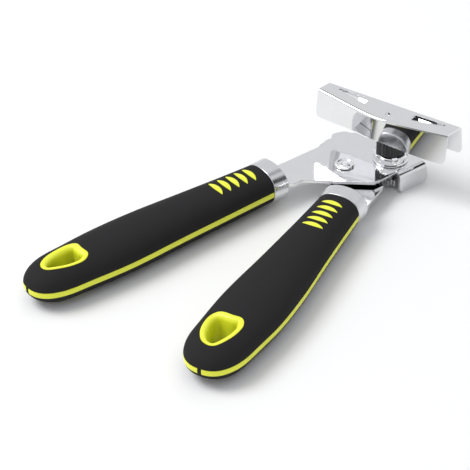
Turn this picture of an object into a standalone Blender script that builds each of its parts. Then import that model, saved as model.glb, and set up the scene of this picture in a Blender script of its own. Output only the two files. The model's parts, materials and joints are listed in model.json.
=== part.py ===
"""Manual can opener: two pivoted steel jaws with overmoulded grips, a turning key and a cutting wheel.

Metres, +Z up. The opener lies flat with its head towards +X, and the origin is under the middle of
its bounding box. Each jaw is drawn in its own frame: the origin is the pivot pin's axis and +X runs
along the handle towards the head. Each grip is drawn from its butt: x is the distance from the butt
along the handle, y the distance from the handle's centre line, towards its outer side.
"""

import math

import bmesh
import bpy
import numpy as np

MM = 0.001
GAP = 0.25 * MM                      # air left between pieces that touch on the real opener

# ---- plan ----
PIVOT = (64.1 * MM, -0.53 * MM)
HALF_SPREAD = math.radians(11.66)    # each handle's angle to the X axis, as the opener lies
SHAFT = (81.8 * MM, -13.03 * MM)     # axis of the turning key
KEY_ANGLE = math.radians(96.9)       # the key's long axis, from +X
CUTTER_IN_JAW = (15.6 * MM, 10.1 * MM)

# ---- heights ----
SHEET = 1.5 * MM                     # steel of both jaws
UPPER_BOTTOM = 9.35 * MM
LOWER_BOTTOM = 6.45 * MM
UPPER_TOP = UPPER_BOTTOM + SHEET
LOWER_TOP = LOWER_BOTTOM + SHEET
KEY_TOP = 37.2 * MM
KEY_BOTTOM = 22.05 * MM
FEED_WHEEL_BOTTOM = 1.7 * MM
FEED_WHEEL_TOP = 5.0 * MM

# ---- grips ----
GRIP_LENGTH = 125 * MM
GRIP_MIDDLE = 9.2 * MM
NOSE_LENGTH = 20 * MM
NOSE_POWER = 2.4
NOSE_DEPTH = 15 * MM                 # the thickness rounds off over this much of the butt
NOSE_DEPTH_POWER = 2.2
SECTION_POWER = 2.3
COVER_WALL = 2.8 * MM                # soft cover over the hard core
STRIPE_MIDDLE = 8.8 * MM
STRIPE_HALF = 1.35 * MM
BRIDGE_HALF = 0.9 * MM               # the cover crosses the stripe at the butt
BRIDGE_DEPTH = 6.5 * MM
UPPER_OUTER = [(0, 11.0), (20, 12.3), (40, 13.9), (62, 13.8), (88, 12.0), (110, 10.7), (125, 10.2)]
UPPER_INNER = [(0, 12.3), (20, 12.6), (42, 13.6), (75, 12.2), (105, 11.0), (125, 10.2)]
LOWER_OUTER = [(0, 12.6), (20, 14.1), (40, 15.7), (62, 15.2), (88, 12.9), (110, 11.2), (125, 10.2)]
LOWER_INNER = [(0, 13.4), (20, 13.9), (42, 14.4), (75, 12.3), (105, 10.8), (125, 10.2)]
WIDTHS = {"upper": (UPPER_OUTER, UPPER_INNER), "lower": (LOWER_INNER, LOWER_OUTER)}
HALF_HEIGHTS = [(0, 8.3), (20, 8.7), (55, 9.2), (90, 8.9), (110, 8.5), (125, 8.1)]
HEART_HALF = [(7.9, 0), (9.3, 3.0), (14.0, 5.4), (20.0, 6.7), (25.3, 6.6), (28.5, 4.3), (28.4, 0)]
HEART_LEAN = 1.36                    # the lower grip's hole is wider by this factor on its inner side
DASH_COUNT = 5
DASH_FIRST = 99.8 * MM
DASH_PITCH = 4.68 * MM
DASH_HALF = 5.0 * MM
DASH_BULGE = 1.9 * MM                  # of the edge towards the head
DASH_BACK = 0.8 * MM                   # of the edge towards the butt
UPPER_BUTT = (-162.6 * MM, 13.7 * MM)    # in the upper jaw's frame
LOWER_BUTT = (-156.2 * MM, -12.3 * MM)

# ---- ferrules ----
FERRULE_LENGTH = 8 * MM
FERRULE_WALL = 0.9 * MM
FERRULE_BACK = (10.4 * MM, 8.3 * MM)     # half-width and half-height next to the grip
FERRULE_FRONT = (10.9 * MM, 8.5 * MM)
TANG_START = 62 * MM                     # how far from the butt the steel tang begins

# ---- key ----
KEY_HALF = 33.5 * MM
KEY_MIDDLE = 1.24 * MM                   # the shaft is this far from the key's middle
KEY_SHEET = 1.2 * MM
KEY_NEAR_BEND = 1.4 * MM
KEY_FAR_BEND = 2.2 * MM
KEY_FAR = 5.04 * MM                      # the far flange is straight, and leans outwards
KEY_LEAN = math.radians(9)
KEY_NEAR_LEAN = math.radians(4.5)        # the near flange leans outwards a little too
KEY_SKEW = 1.7 * MM                      # the near flange sits this much nearer one end than the far one
KEY_NEAR_END = 4.66 * MM                 # the near flange bows out from its ends to the middle
KEY_NEAR_SLOPE = 0.2
KEY_NEAR_TURN = 0.015
KEY_NEAR_BLEND = 5 * MM
KEY_DROP = 0.7 * MM                      # the near flange's lower edge slopes by this much each way
KEY_ARCH = 3.2 * MM                      # and rises by this much in its middle
KEY_HOLE = (-0.4 * MM, 4.6 * MM, 0)

# ---- lip that rests on the can ----
LIP_FROM = 14.9 * MM                     # along the upper jaw, from the pivot
LIP_TO = 32.4 * MM
LIP_FACE = -21.1 * MM                    # its outer face, across the upper jaw
LIP_BEND = 3.0 * MM

CAN_OPENER = bpy.data.collections.new("manual_can_opener")
CUTTERS = bpy.data.collections.new("cutters")


# ---------------------------------------------------------------- scene, materials, placing


def clear_scene():
    for item in list(bpy.data.objects):
        bpy.data.objects.remove(item, do_unlink=True)
    for collection in (CAN_OPENER, CUTTERS):
        bpy.context.scene.collection.children.link(collection)
    CUTTERS.hide_render = True


def material(name, colour, roughness, metallic=0.0):
    made = bpy.data.materials.new(name)
    made.use_nodes = True
    shader = made.node_tree.nodes["Principled BSDF"]
    shader.inputs["Base Color"].default_value = (*colour, 1)
    shader.inputs["Roughness"].default_value = roughness
    shader.inputs["Metallic"].default_value = metallic
    made.diffuse_color = (*colour, 1)
    return made


def frame_empty(name, place, angle=0.0, parent=None):
    """An empty that carries the pieces of one body or one handle."""
    empty = bpy.data.objects.new(name, None)
    CAN_OPENER.objects.link(empty)
    empty.location = (*place, 0)
    empty.rotation_euler.z = angle
    empty.parent = parent
    return empty


def add_object(name, mesh, parent, finish=None, place=(0, 0, 0)):
    """A piece of the opener when it has a finish, and otherwise a cutter."""
    made = bpy.data.objects.new(name, mesh)
    made.parent = parent
    made.location = place
    if finish:
        CAN_OPENER.objects.link(made)
        mesh.materials.append(finish)
        mesh.shade_smooth()
        mesh.set_sharp_from_angle(angle=math.radians(32))
    else:
        CUTTERS.objects.link(made)
        made.hide_render = True
        made.display_type = "WIRE"
    return made


def boolean(target, other, operation):
    modifier = target.modifiers.new(operation.lower() + "_" + other.name, "BOOLEAN")
    modifier.operation = operation
    modifier.solver = "EXACT"
    modifier.object = other


def cut(target, *others):
    for other in others:
        boolean(target, other, "DIFFERENCE")


def join(target, *others):
    for other in others:
        boolean(target, other, "UNION")


# ---------------------------------------------------------------- outlines


def smooth_curve(knots, x):
    """The height at x, in metres, of a smooth curve through knots given in millimetres."""
    xs, ys = np.array(knots, float).T
    slopes = np.gradient(ys, xs)
    x = np.clip(x / MM, xs[0], xs[-1])
    i = int(np.clip(np.searchsorted(xs, x) - 1, 0, len(xs) - 2))
    h = xs[i + 1] - xs[i]
    u = (x - xs[i]) / h
    value = (1 + 2 * u) * (1 - u) ** 2 * ys[i] + u * (1 - u) ** 2 * h * slopes[i]
    value += u * u * (3 - 2 * u) * ys[i + 1] + u * u * (u - 1) * h * slopes[i + 1]
    return value * MM


def rounded(corners, segments=5):
    """An outline in metres from corners (x, y, radius) in millimetres, each turned into an arc."""
    points = []
    for i, (x, y, radius) in enumerate(corners):
        corner = np.array((x, y), float)
        before = np.array(corners[i - 1][:2]) - corner
        after = np.array(corners[(i + 1) % len(corners)][:2]) - corner
        before = before / np.linalg.norm(before)
        after = after / np.linalg.norm(after)
        half = math.acos(np.clip(before @ after, -1, 1)) / 2
        if radius == 0 or half > math.radians(88):
            points.append(corner)
            continue
        middle = corner + (before + after) / np.linalg.norm(before + after) * radius / math.sin(half)
        start = corner + before * radius / math.tan(half) - middle
        end = corner + after * radius / math.tan(half) - middle
        for k in range(segments + 1):
            blend = start * (1 - k / segments) + end * k / segments
            points.append(middle + blend / np.linalg.norm(blend) * radius)
    return [tuple(point * MM) for point in points]


def closed_spline(points, steps):
    """A smooth closed outline through the points, with a number of steps between each two."""
    points = np.array(points, float)
    count = len(points)
    found = []
    for i in range(count):
        a, b, c, d = (points[(i + k) % count] for k in (-1, 0, 1, 2))
        for k in range(steps):
            u = k / steps
            curve = 2 * b + (c - a) * u + (2 * a - 5 * b + 4 * c - d) * u**2
            found.append((curve + (3 * b - a - 3 * c + d) * u**3) / 2)
    return np.array(found)


def inset(outline, distance):
    """The outline, which runs anticlockwise, moved inwards."""
    outline = np.array(outline)
    along = np.roll(outline, -1, 0) - np.roll(outline, 1, 0)
    inwards = np.stack([-along[:, 1], along[:, 0]], 1)
    return outline + inwards / np.linalg.norm(inwards, axis=1)[:, None] * distance


def flat_mesh(name, outline, bottom, top):
    """The outline as a plate between two heights: a filled, extruded 2D curve made into a mesh."""
    curve = bpy.data.curves.new(name, "CURVE")
    curve.dimensions = "2D"
    curve.fill_mode = "BOTH"
    curve.extrude = (top - bottom) / 2
    spline = curve.splines.new("POLY")
    spline.points.add(len(outline) - 1)
    for point, (x, y) in zip(spline.points, outline):
        point.co = (x, y, 0, 1)
    spline.use_cyclic_u = True
    holder = bpy.data.objects.new(name, curve)
    CUTTERS.objects.link(holder)
    holder.hide_render = True
    graph = bpy.context.evaluated_depsgraph_get()
    mesh = bpy.data.meshes.new_from_object(holder.evaluated_get(graph))
    bpy.data.objects.remove(holder, do_unlink=True)
    work = bmesh.new()
    work.from_mesh(mesh)
    bmesh.ops.translate(work, vec=(0, 0, (top + bottom) / 2), verts=work.verts)
    bmesh.ops.remove_doubles(work, verts=work.verts, dist=1e-7)
    bmesh.ops.recalc_face_normals(work, faces=work.faces)
    work.to_mesh(mesh)
    work.free()
    return mesh


def loft_mesh(name, rings):
    """A closed mesh through rings of points, with flat ends. The rings turn anticlockwise."""
    work = bmesh.new()
    made = [[work.verts.new(point) for point in ring] for ring in rings]
    for ring, following in zip(made, made[1:]):
        for i in range(len(ring)):
            j = (i + 1) % len(ring)
            work.faces.new((ring[i], ring[j], following[j], following[i]))
    work.faces.new(reversed(made[0]))
    work.faces.new(made[-1])
    bmesh.ops.recalc_face_normals(work, faces=work.faces)
    mesh = bpy.data.meshes.new(name)
    work.to_mesh(mesh)
    work.free()
    return mesh


def cylinder_mesh(name, radius, bottom, top, sides=32):
    work = bmesh.new()
    bmesh.ops.create_cone(
        work, cap_ends=True, segments=sides, radius1=radius, radius2=radius, depth=top - bottom
    )
    bmesh.ops.translate(work, vec=(0, 0, (top + bottom) / 2), verts=work.verts)
    mesh = bpy.data.meshes.new(name)
    work.to_mesh(mesh)
    work.free()
    return mesh


def box_mesh(name, low, high):
    work = bmesh.new()
    bmesh.ops.create_cube(work, size=1)
    size = np.subtract(high, low)
    bmesh.ops.scale(work, vec=size, verts=work.verts)
    bmesh.ops.translate(work, vec=np.add(high, low) / 2, verts=work.verts)
    mesh = bpy.data.meshes.new(name)
    work.to_mesh(mesh)
    work.free()
    return mesh


def turned(name, profile, parent, finish, place=(0, 0), steps=24, closed=False):
    """A round piece: (radius, height) points in millimetres, from the top down, spun about Z."""
    mesh = bpy.data.meshes.new(name)
    count = len(profile)
    edges = [(i, i + 1) for i in range(count - 1)]
    if closed:
        edges.append((count - 1, 0))
    mesh.from_pydata([(r * MM, 0, z * MM) for r, z in profile], edges, [])
    made = add_object(name, mesh, parent, finish, (*place, 0))
    screw = made.modifiers.new("spin", "SCREW")
    screw.steps = steps
    screw.render_steps = steps
    screw.use_merge_vertices = True
    screw.merge_threshold = 1e-6
    screw.use_smooth_shade = True
    return made


def washer(name, parent, finish, place, radii, heights, edge=0.15):
    """A flat ring with broken edges. Radii are bore and rim, heights bottom and top, in millimetres."""
    bore, rim = radii
    bottom, top = heights
    profile = [(bore, top), (rim - edge, top), (rim, top - edge), (rim, bottom + edge)]
    profile += [(rim - edge, bottom), (bore, bottom)]
    return turned(name, profile, parent, finish, place, closed=True)


# ---------------------------------------------------------------- grips and ferrules


def nose(x, length, power):
    """How much of its full size the grip has at x, as it rounds off to the butt."""
    if x >= length:
        return 1.0
    return (1 - (1 - x / length) ** power) ** (1 / power)


def grip_ring(x, jaw, shrink=0.0, points=20):
    """The grip's cross-section at x, as a ring of points."""
    thickness = smooth_curve(HALF_HEIGHTS, x) * nose(x, NOSE_DEPTH, NOSE_DEPTH_POWER) - shrink
    round_off = nose(x, NOSE_LENGTH, NOSE_POWER)
    left, right = (smooth_curve(knots, x) * round_off - shrink for knots in WIDTHS[jaw])
    ring = []
    for i in range(points):
        angle = 2 * math.pi * (i + 0.5) / points
        across = math.copysign(abs(math.cos(angle)) ** (2 / SECTION_POWER), math.cos(angle))
        up = math.copysign(abs(math.sin(angle)) ** (2 / SECTION_POWER), math.sin(angle))
        width = left if across > 0 else right
        ring.append((x, across * width, GRIP_MIDDLE + up * thickness))
    return ring


def grip_stations(start, end, nose_steps=8, body_steps=9):
    """Distances from the butt: close together round the nose, and even along the rest."""
    first = math.acos(1 - start / NOSE_LENGTH)
    turn = np.linspace(first, math.pi / 2, nose_steps)
    nose_part = [NOSE_LENGTH * (1 - math.cos(angle)) for angle in turn]
    return nose_part[:-1] + list(np.linspace(NOSE_LENGTH, end, body_steps))


def grip_body(name, jaw, start=0.08 * MM, end=GRIP_LENGTH, shrink=0.0):
    return loft_mesh(name, [grip_ring(x, jaw, shrink) for x in grip_stations(start, end)])


def heart_outline(jaw, distance=0.0):
    """The hanging hole's rim, tip towards the butt, moved inwards by a distance."""
    left = [(x, y * HEART_LEAN if jaw == "lower" else y) for x, y in HEART_HALF]
    right = [(x, -y) for x, y in reversed(HEART_HALF[1:-1])]
    outline = closed_spline(left + right, 3)[::-1] * MM
    return inset(outline, distance)


def dash_outline(index, grown=0.0):
    """One crescent, more curved towards the head than towards the butt."""
    x = DASH_FIRST + index * DASH_PITCH
    half = DASH_HALF + grown
    across = np.linspace(-half, half, 7)
    arch = (1 - (across / half) ** 2) ** 0.8
    back = [(x - grown - DASH_BACK * a, -y) for y, a in zip(across, arch)]
    front = [(x + grown + DASH_BULGE * a, y) for y, a in zip(across, arch)]
    return front[1:-1] + back


def lime_mask(name, jaw, frame, grown):
    """All that the hard core fills inside the grip: its body, stripe, hole liner and dashes."""
    body = grip_body(name, jaw, BRIDGE_DEPTH + GAP - grown, shrink=COVER_WALL - grown)
    mask = add_object(name + "_body", body, frame)
    half = BRIDGE_HALF - grown
    depth = BRIDGE_DEPTH - grown
    edge = 30 * MM
    end = GRIP_LENGTH + grown
    stripe = [(-edge, -edge), (end, -edge), (end, edge), (-edge, edge)]
    stripe += [(-edge, half), (depth, half), (depth, -half), (-edge, -half)]
    heights = (STRIPE_MIDDLE - STRIPE_HALF - grown, STRIPE_MIDDLE + STRIPE_HALF + grown)
    join(mask, add_object(name + "_stripe", flat_mesh(name, stripe, *heights), frame))
    liner = flat_mesh(name, heart_outline(jaw, -grown), GRIP_MIDDLE - 12 * MM, GRIP_MIDDLE + 12 * MM)
    join(mask, add_object(name + "_liner", liner, frame))
    for i in range(DASH_COUNT):
        dash = flat_mesh(name, dash_outline(i, grown), GRIP_MIDDLE, GRIP_MIDDLE + 12 * MM)
        join(mask, add_object(f"{name}_dash_{i}", dash, frame))
    return mask


def heart_cutter(jaw, frame):
    """The hanging hole, which opens out towards both faces."""
    steps = [(12, 0.5), (8.0, 0.7), (7.4, 1.0), (6.4, 1.9), (5.4, 2.1)]
    steps += [(-z, distance) for z, distance in reversed(steps)]
    rings = []
    for z, distance in reversed(steps):
        rings.append([(x, y, GRIP_MIDDLE + z * MM) for x, y in heart_outline(jaw, distance * MM)])
    return add_object(jaw + "_hole", loft_mesh("hole", rings), frame)


def make_grip(jaw, frame, tang, black, lime):
    """The hard core and its soft cover. tang is the slot's (low, high) corners in y and z."""
    (y0, z0), (y1, z1) = tang
    core = add_object(jaw + "_grip_core", grip_body("core", jaw), frame, lime)
    boolean(core, lime_mask(jaw + "_core_mask", jaw, frame, 0), "INTERSECT")
    spigot_end = GRIP_LENGTH + FERRULE_LENGTH - FERRULE_WALL - 2 * GAP
    shrink = FERRULE_WALL + GAP
    step = GRIP_LENGTH + GAP
    rings = [oval_ring(x, 6.8 * MM, 4.8 * MM) for x in (GRIP_LENGTH - 4 * MM, step)]
    for x in (step, spigot_end):
        rings.append(oval_ring(x, FERRULE_BACK[0] - shrink, FERRULE_BACK[1] - shrink))
    join(core, add_object(jaw + "_spigot", loft_mesh("spigot", rings), frame))
    slot_end = GRIP_LENGTH + 12 * MM
    slot = box_mesh("slot", (TANG_START - GAP, y0 - GAP, z0 - GAP), (slot_end, y1 + GAP, z1 + GAP))
    cut(core, heart_cutter(jaw, frame), add_object(jaw + "_tang_slot", slot, frame))
    cover = add_object(jaw + "_grip_cover", grip_body("cover", jaw), frame, black)
    cut(cover, lime_mask(jaw + "_cover_mask", jaw, frame, GAP))


def oval_ring(x, half_width, half_height, points=20):
    ring = []
    for i in range(points):
        angle = 2 * math.pi * (i + 0.5) / points
        across = math.copysign(abs(math.cos(angle)) ** (2 / SECTION_POWER), math.cos(angle))
        up = math.copysign(abs(math.sin(angle)) ** (2 / SECTION_POWER), math.sin(angle))
        ring.append((x, across * half_width, GRIP_MIDDLE + up * half_height))
    return ring


def make_ferrule(name, frame, neck, steel):
    """A drawn collar with a closed end, slotted for the jaw's neck: (low, high) in y and z."""
    back, front = GRIP_LENGTH + GAP, GRIP_LENGTH + FERRULE_LENGTH
    rings = []
    for share, shrink in ((0, 0.25), (0.04, 0), (0.9, 0), (0.96, 0.2), (1, 0.7)):
        x = back + (front - back) * share
        width = FERRULE_BACK[0] + (FERRULE_FRONT[0] - FERRULE_BACK[0]) * share - shrink * MM
        height = FERRULE_BACK[1] + (FERRULE_FRONT[1] - FERRULE_BACK[1]) * share - shrink * MM
        rings.append(oval_ring(x, width, height))
    collar = add_object(name, loft_mesh(name, rings), frame, steel)
    hollow = []
    for x in (back - MM, front - FERRULE_WALL):
        hollow.append(oval_ring(x, FERRULE_BACK[0] - FERRULE_WALL, FERRULE_BACK[1] - FERRULE_WALL))
    (y0, z0), (y1, z1) = neck
    slot = box_mesh("slot", (front - 4 * MM, y0 - GAP, z0 - GAP), (front + MM, y1 + GAP, z1 + GAP))
    cut(collar, add_object(name + "_hollow", loft_mesh("hollow", hollow), frame))
    cut(collar, add_object(name + "_slot", slot, frame))


# ---------------------------------------------------------------- jaws


def lip_sections(steps=10):
    """Paths across the folded lip, from the flat steel round the bend and down to rounded corners."""
    corner = 3.0 * MM
    slant = 2.6 * MM
    flat = UPPER_TOP - SHEET / 2
    middle = LIP_BEND - SHEET / 2
    bend_y = LIP_FACE + LIP_BEND
    sections = []
    for k in range(steps + 1):
        share = (1 - math.cos(math.pi * k / steps)) / 2
        x = LIP_FROM + (LIP_TO - LIP_FROM) * share
        near_end = min(x - LIP_FROM, LIP_TO - x)
        lift = 0.0
        if near_end < corner:
            lift = corner - math.sqrt(max(corner**2 - (corner - near_end) ** 2, 0))
        path = [(x - slant * share, bend_y + 2 * MM, flat)]
        for turn in np.linspace(0, math.pi / 2, 6):
            y = bend_y - middle * math.sin(turn)
            z = UPPER_TOP - LIP_BEND + middle * math.cos(turn)
            path.append((x - slant * share * z / flat, y, z))
        path.append((x, LIP_FACE + SHEET / 2, max(lift, 0.02 * MM)))
        sections.append(path)
    return sections


def sheet_object(name, sections, thickness, parent, finish=None):
    """Bent sheet metal: an open surface through the sections, given its thickness by Solidify."""
    work = bmesh.new()
    rows = [[work.verts.new(point) for point in path] for path in sections]
    for row, following in zip(rows, rows[1:]):
        for i in range(len(row) - 1):
            work.faces.new((row[i], following[i], following[i + 1], row[i + 1]))
    mesh = bpy.data.meshes.new(name)
    work.to_mesh(mesh)
    work.free()
    made = add_object(name, mesh, parent, finish)
    solidify = made.modifiers.new("sheet", "SOLIDIFY")
    solidify.thickness = thickness
    solidify.offset = 0
    solidify.use_even_offset = True
    return made


def jaw_corners(corners, butt):
    """Corners (distance from the butt, distance from the line, radius) in the jaw's frame."""
    return [(x + butt[0] / MM, y + butt[1] / MM, radius) for x, y, radius in corners]


def make_upper_plate(frame, steel):
    corners = [
        (62, -5.5, 2), (131.85, -5.5, 0), (131.85, -9.4, 0), (133.6, -9.4, 0), (135.6, -11.1, 1),
        (140.0, -11.1, 1.5), (164.4, -32.5, 2), (177.0, -32.5, 0.6), (177.7, -31.2, 0),
        (192.3, -31.2, 0.5), (192.3, -28.6, 2), (191.6, -20, 6), (189, -9, 7), (185, -2.7, 3),
        (183.8, 4.0, 2.5), (176, 5.2, 6), (169.8, 7.2, 3.5), (163.5, 4.8, 6), (131.85, 4.8, 0),
        (131.85, 3.5, 0), (62, 3.5, 2),
    ]
    outline = rounded(jaw_corners(corners, UPPER_BUTT))
    plate = add_object("upper_plate", flat_mesh("plate", outline, UPPER_BOTTOM, UPPER_TOP), frame, steel)
    join(plate, sheet_object("lip", lip_sections(), SHEET, frame))
    hole = add_object("pivot_hole_upper", cylinder_mesh("hole", 3.25 * MM, 0, 20 * MM), frame)
    bush_hole = cylinder_mesh("hole", 5.5 * MM, 0, 20 * MM)
    cut(plate, hole, add_object("bush_hole", bush_hole, None, place=(*SHAFT, 0)))


def make_lower_plate(frame, steel):
    corners = [
        (62, -5, 2), (131.85, -5, 0), (131.85, -8.9, 0), (153.2, -8.9, 2.5), (158.5, -3.4, 4),
        (162.8, 1.5, 6), (171, 7.8, 6), (181.3, 12.0, 4), (185.6, 20.4, 3), (185.0, 26.4, 3),
        (180.4, 30.6, 3), (173.2, 27.3, 4), (160, 27, 8), (148, 22.5, 6), (141.5, 9.2, 3),
        (131.85, 9.2, 0), (131.85, 5, 0), (62, 5, 2),
    ]
    outline = rounded(jaw_corners(corners, LOWER_BUTT))
    plate = add_object("lower_plate", flat_mesh("plate", outline, LOWER_BOTTOM, LOWER_TOP), frame, steel)
    hole = add_object("pivot_hole_lower", cylinder_mesh("hole", 3.25 * MM, 0, 20 * MM), frame)
    axle_hole = cylinder_mesh("hole", 2.75 * MM, 0, 20 * MM)
    cut(plate, hole, add_object("axle_hole", axle_hole, frame, place=(*CUTTER_IN_JAW, 0)))


def make_pivot(frame, steel):
    """A rivet with a domed centre in a raised ring, a spacer between the jaws and a washer."""
    head = UPPER_TOP / MM + 0.2
    profile = [
        (0, head + 1.1), (1.2, head + 1.05), (2.2, head + 0.75), (2.7, head + 0.3), (3.1, head + 0.3),
        (3.5, head + 0.8), (4.1, head + 0.85), (4.6, head + 0.4), (4.6, head), (3.0, head),
        (3.0, 4.95), (4.7, 4.95), (4.7, 4.4), (3.6, 3.7), (0, 3.5),
    ]
    turned("pivot_rivet", profile, frame, steel)
    washer("pivot_spacer", frame, steel, (0, 0), (3.25, 7.0), (8.15, 9.15))
    washer("pivot_washer", frame, steel, (0, 0), (3.25, 6.4), (5.2, 6.2))


def make_cutter(frame, blade_frame, steel, blade_steel):
    """The free cutting wheel and the shouldered rivet that it turns on."""
    profile = [
        (0, 9.0), (2.6, 8.9), (3.4, 8.55), (3.4, 8.2), (2.5, 8.2), (2.5, 3.85), (4.6, 3.85),
        (4.6, 3.3), (3.8, 2.9), (0, 2.8),
    ]
    turned("cutter_axle", profile, frame, steel, CUTTER_IN_JAW)
    profile = [
        (2.8, 6.2), (4.8, 6.2), (5.2, 5.95), (9.9, 5.95), (10.0, 5.85), (9.1, 5.2), (8.4, 4.5),
        (5.4, 4.1), (2.8, 4.1),
    ]
    turned("cutter_wheel", profile, blade_frame, blade_steel, steps=40, closed=True)


# ---------------------------------------------------------------- key and drive


def bend_path(middle, radius, start, end, side):
    """Points (y, height) round one of the key's bends. side is 1 for the near one, else -1."""
    radius -= KEY_SHEET / 2
    height = KEY_TOP - KEY_SHEET / 2 - radius
    turns = np.linspace(start, end, 5)
    return [(middle + side * radius * (math.cos(t) - 1), height + radius * math.sin(t)) for t in turns]


def key_sections(steps=24):
    """Paths across the key, an upturned channel: near flange, web and far flange."""
    half_sheet = KEY_SHEET / 2
    corner = 2.2 * MM
    far = half_sheet - KEY_FAR
    sections = []
    for k in range(steps + 1):
        x = -KEY_HALF * math.cos(math.pi * k / steps)
        near = KEY_NEAR_END + KEY_NEAR_SLOPE * (KEY_HALF - math.hypot(x, KEY_NEAR_BLEND)) - half_sheet
        near -= KEY_NEAR_TURN * x
        from_end = KEY_HALF - abs(x)
        lift = 0.0
        if from_end < corner:
            lift = corner - math.sqrt(max(corner**2 - (corner - from_end) ** 2, 0))
        arch = KEY_ARCH * math.cos(math.pi * (x - 3 * MM) / 2 / KEY_HALF) ** 2
        across = bend_path(near, KEY_NEAR_BEND, KEY_NEAR_LEAN, math.pi / 2, 1)
        y, z = across[0]
        bottom = KEY_BOTTOM + KEY_DROP * (1 + x / KEY_HALF) + arch + lift
        across.insert(0, (y + (z - bottom) * math.tan(KEY_NEAR_LEAN), bottom))
        across += bend_path(far, KEY_FAR_BEND, math.pi / 2, KEY_LEAN, -1)
        y, z = across[-1]
        bottom = KEY_BOTTOM + lift
        across.append((y - (z - bottom) * math.tan(KEY_LEAN), bottom))
        skew = KEY_SKEW / (near - far)
        sections.append([(x + KEY_MIDDLE + skew * max(y - far, 0), y, z) for y, z in across])
    return sections


def make_key(frame, steel):
    """The turning key, with a long pointed slot on each side of the shaft and a small round hole."""
    key = sheet_object("crank_key", key_sections(), KEY_SHEET, frame, steel)
    for end, shift in ((1, -0.4), (-1, 0)):
        corners = [(11.6, 3.3, 0.4), (11.6, -1.2, 0.4), (27.4, -1.4, 0.3), (27.4, -0.5, 0.3)]
        corners = [(KEY_MIDDLE / MM + x * end, y + shift, radius) for x, y, radius in corners]
        slot = flat_mesh("slot", rounded(corners, 3), KEY_TOP - 4 * MM, KEY_TOP + MM)
        cut(key, add_object(f"key_slot_{end}", slot, frame))
    hole = cylinder_mesh("hole", 1.5 * MM, 30 * MM, 40 * MM)
    cut(key, add_object("key_hole", hole, frame, place=KEY_HOLE))


def make_sleeve(frame, plastic):
    """The black ribbed spacer under the key, with a flat that clears the key's far flange."""
    ribs = 30
    outline = []
    for i in range(ribs):
        for share, radius in ((0.0, 6.6), (0.45, 6.6), (0.6, 6.25), (0.85, 6.25)):
            angle = 2 * math.pi * (i + share) / ribs
            outline.append((radius * MM * math.cos(angle), radius * MM * math.sin(angle)))
    sleeve = flat_mesh("sleeve", outline, 15.35 * MM, 24.5 * MM)
    sleeve = add_object("spacer_sleeve", sleeve, frame, plastic)
    flat = box_mesh("flat", (-8 * MM, -8 * MM, 21.8 * MM), (8 * MM, -5 * MM, 26 * MM))
    bore = cylinder_mesh("bore", 3.9 * MM, 10 * MM, 40 * MM)
    cut(sleeve, add_object("sleeve_bore", bore, frame), add_object("sleeve_flat", flat, frame))


def make_bush(frame, steel):
    """The chrome collar that carries the shaft: a notched rim on a neck staked through the upper jaw."""
    profile = [
        (3.9, 15.15), (7.3, 15.15), (7.7, 14.8), (7.9, 14.3), (7.9, 12.1), (8.2, 11.6), (8.2, 11.05),
        (5.25, 11.05), (5.25, 8.75), (3.9, 8.75),
    ]
    bush = turned("shaft_bush", profile, frame, steel, steps=32, closed=True)
    for i in range(6):
        notch = box_mesh("notch", (6.6 * MM, -1.3 * MM, 12.9 * MM), (9 * MM, 1.3 * MM, 16 * MM))
        notch = add_object(f"bush_notch_{i}", notch, frame)
        notch.rotation_euler.z = math.tau * (i + 0.25) / 6
        cut(bush, notch)


def make_drive(frame, steel, dark):
    """The shaft from key to feed wheel, square where it drives the wheel, with its washers."""
    profile = [(0, 35.75), (2.3, 35.75), (2.3, 35.0), (3.6, 35.0), (3.6, 5.3), (0, 5.3)]
    shaft = turned("drive_shaft", profile, frame, steel)
    square = box_mesh("square", (-2.1 * MM, -2.1 * MM, 1.3 * MM), (2.1 * MM, 2.1 * MM, 6 * MM))
    join(shaft, add_object("shaft_square", square, frame))
    rivet_end = cylinder_mesh("end", 2.9 * MM, 0.35 * MM, 1.0 * MM)
    join(shaft, add_object("shaft_end", rivet_end, frame))
    neck = cylinder_mesh("neck", 1.8 * MM, 0.6 * MM, 2.0 * MM)
    join(shaft, add_object("shaft_neck", neck, frame))
    washer("key_washer", frame, steel, (0, 0), (2.55, 3.4), (35.2, 35.7), 0.1)
    washer("thrust_washer", frame, dark, (0, 0), (3.9, 4.9), (7.75, 8.45), 0.1)


def make_feed_wheel(frame, steel):
    """A toothed wheel that grips under the can's rim, with a hub towards the jaw."""
    teeth = 22
    outline = []
    for i in range(teeth):
        for share, radius in ((0.0, 9.7), (0.22, 9.7), (0.5, 8.7), (0.72, 8.7)):
            angle = 2 * math.pi * (i + share) / teeth
            outline.append((radius * MM * math.cos(angle), radius * MM * math.sin(angle)))
    rim = flat_mesh("rim", outline, FEED_WHEEL_BOTTOM, FEED_WHEEL_TOP)
    wheel = add_object("feed_wheel", rim, frame, steel)
    hub = cylinder_mesh("hub", 4.8 * MM, FEED_WHEEL_TOP - MM, 7.5 * MM)
    join(wheel, add_object("feed_wheel_hub", hub, frame))
    bore = cylinder_mesh("bore", 3.9 * MM, 5.05 * MM, 9 * MM)
    square = 2.35 * MM
    hole = box_mesh("hole", (-square, -square, 0), (square, square, 8 * MM))
    cut(wheel, add_object("feed_wheel_bore", bore, frame), add_object("feed_wheel_square", hole, frame))


# ---------------------------------------------------------------- the whole opener


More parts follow.
